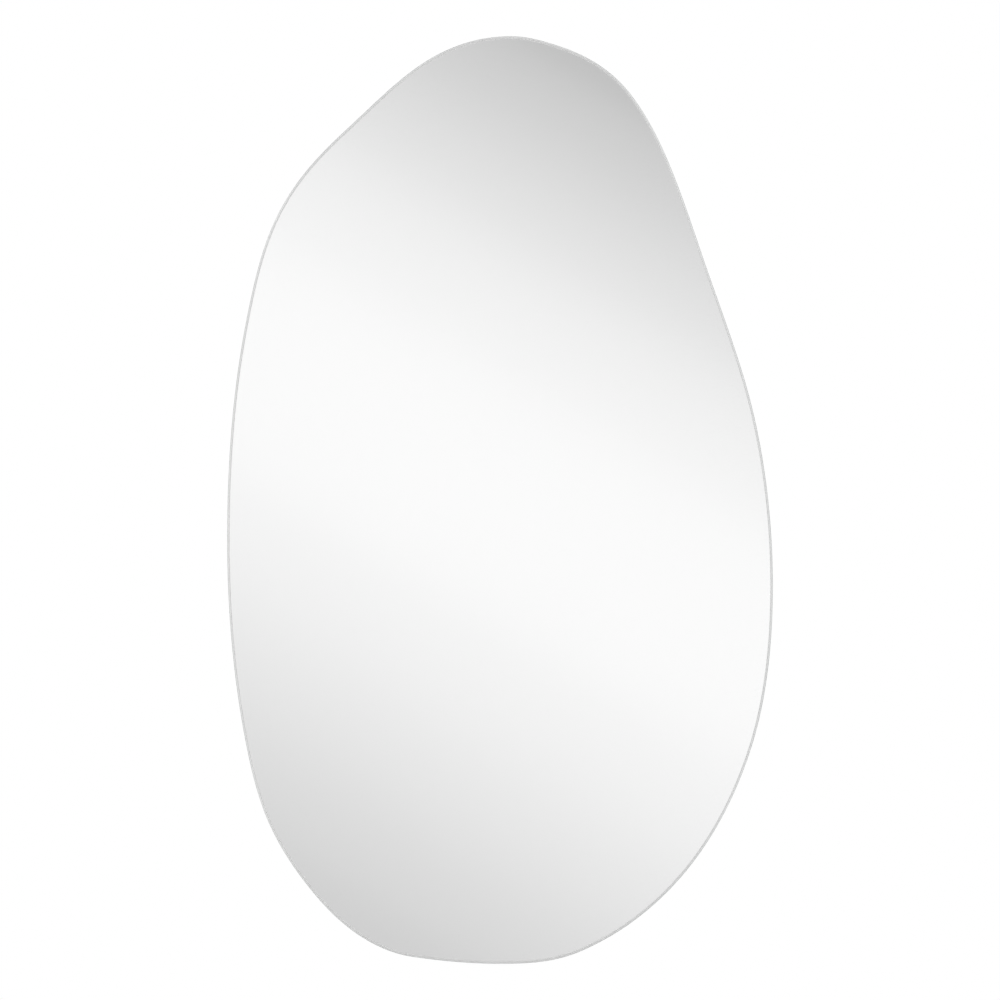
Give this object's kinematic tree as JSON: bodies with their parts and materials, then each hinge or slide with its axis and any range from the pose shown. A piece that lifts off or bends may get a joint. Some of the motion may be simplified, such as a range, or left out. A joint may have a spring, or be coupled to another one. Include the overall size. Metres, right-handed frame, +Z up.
{
  "type": "irregular wall mirror",
  "caption": "Frameless wall mirror with a free, pebble-like outline and a polished glass edge, on a backing board with swinging D-ring hangers.",
  "frame": {"origin": "on the wall plane, midway between the two wall hooks and level with the undersides of the hanger rings that bear on them", "axes": "+Z up, +X to the viewer's right, and the glass faces -Y; the wall is the plane Y = 0, on the +Y side"},
  "size_m": [0.5, 0.0226, 0.85],
  "materials": {
    "glass": "clear float glass, 5 mm, with a ground, polished and slightly rounded edge that reads light grey",
    "silver": "silver under the glass, with a protective grey paint behind it",
    "film": "pale grey woven safety film, matte",
    "board": "fibreboard painted matte black",
    "foam_tape": "white closed-cell foam",
    "adhesive": "off-white cured mirror adhesive, satin",
    "strap_steel": "zinc-plated pressed steel strip, satin",
    "ring_wire": "nickel-plated steel wire, polished",
    "screw_steel": "zinc-plated pan-head screw",
    "rubber": "black rubber, matte"
  },
  "bodies": {
    "mirror": {"glass_pane": "glass", "silver_coating": "silver", "safety_film": "film", "backing_board": "board", "mounting_tape_1": "foam_tape", "mounting_tape_2": "foam_tape", "mounting_tape_3": "foam_tape", "mounting_tape_4": "foam_tape", "adhesive_bead_1": "adhesive", "adhesive_bead_2": "adhesive", "adhesive_bead_3": "adhesive", "hanger_strap_left": "strap_steel", "hanger_strap_right": "strap_steel", "hanger_screw_left_upper": "screw_steel", "hanger_screw_left_lower": "screw_steel", "hanger_screw_right_upper": "screw_steel", "hanger_screw_right_lower": "screw_steel", "wall_bumper_upper_left": "rubber", "wall_bumper_upper_right": "rubber", "wall_bumper_lower_left": "rubber", "wall_bumper_lower_right": "rubber"},
    "ring_left": {"hanger_ring_left": "ring_wire"},
    "ring_right": {"hanger_ring_right": "ring_wire"}
  },
  "joints": [
    {"name": "ring_left_swing", "type": "hinge", "parent": "mirror", "child": "ring_left", "pos_m": [-0.1, -0.0042, -0.017], "axis": [-1, 0, 0], "range_deg": [-3, 176]},
    {"name": "ring_right_swing", "type": "hinge", "parent": "mirror", "child": "ring_right", "pos_m": [0.1, -0.0042, -0.017], "axis": [-1, 0, 0], "range_deg": [-3, 176]}
  ]
}
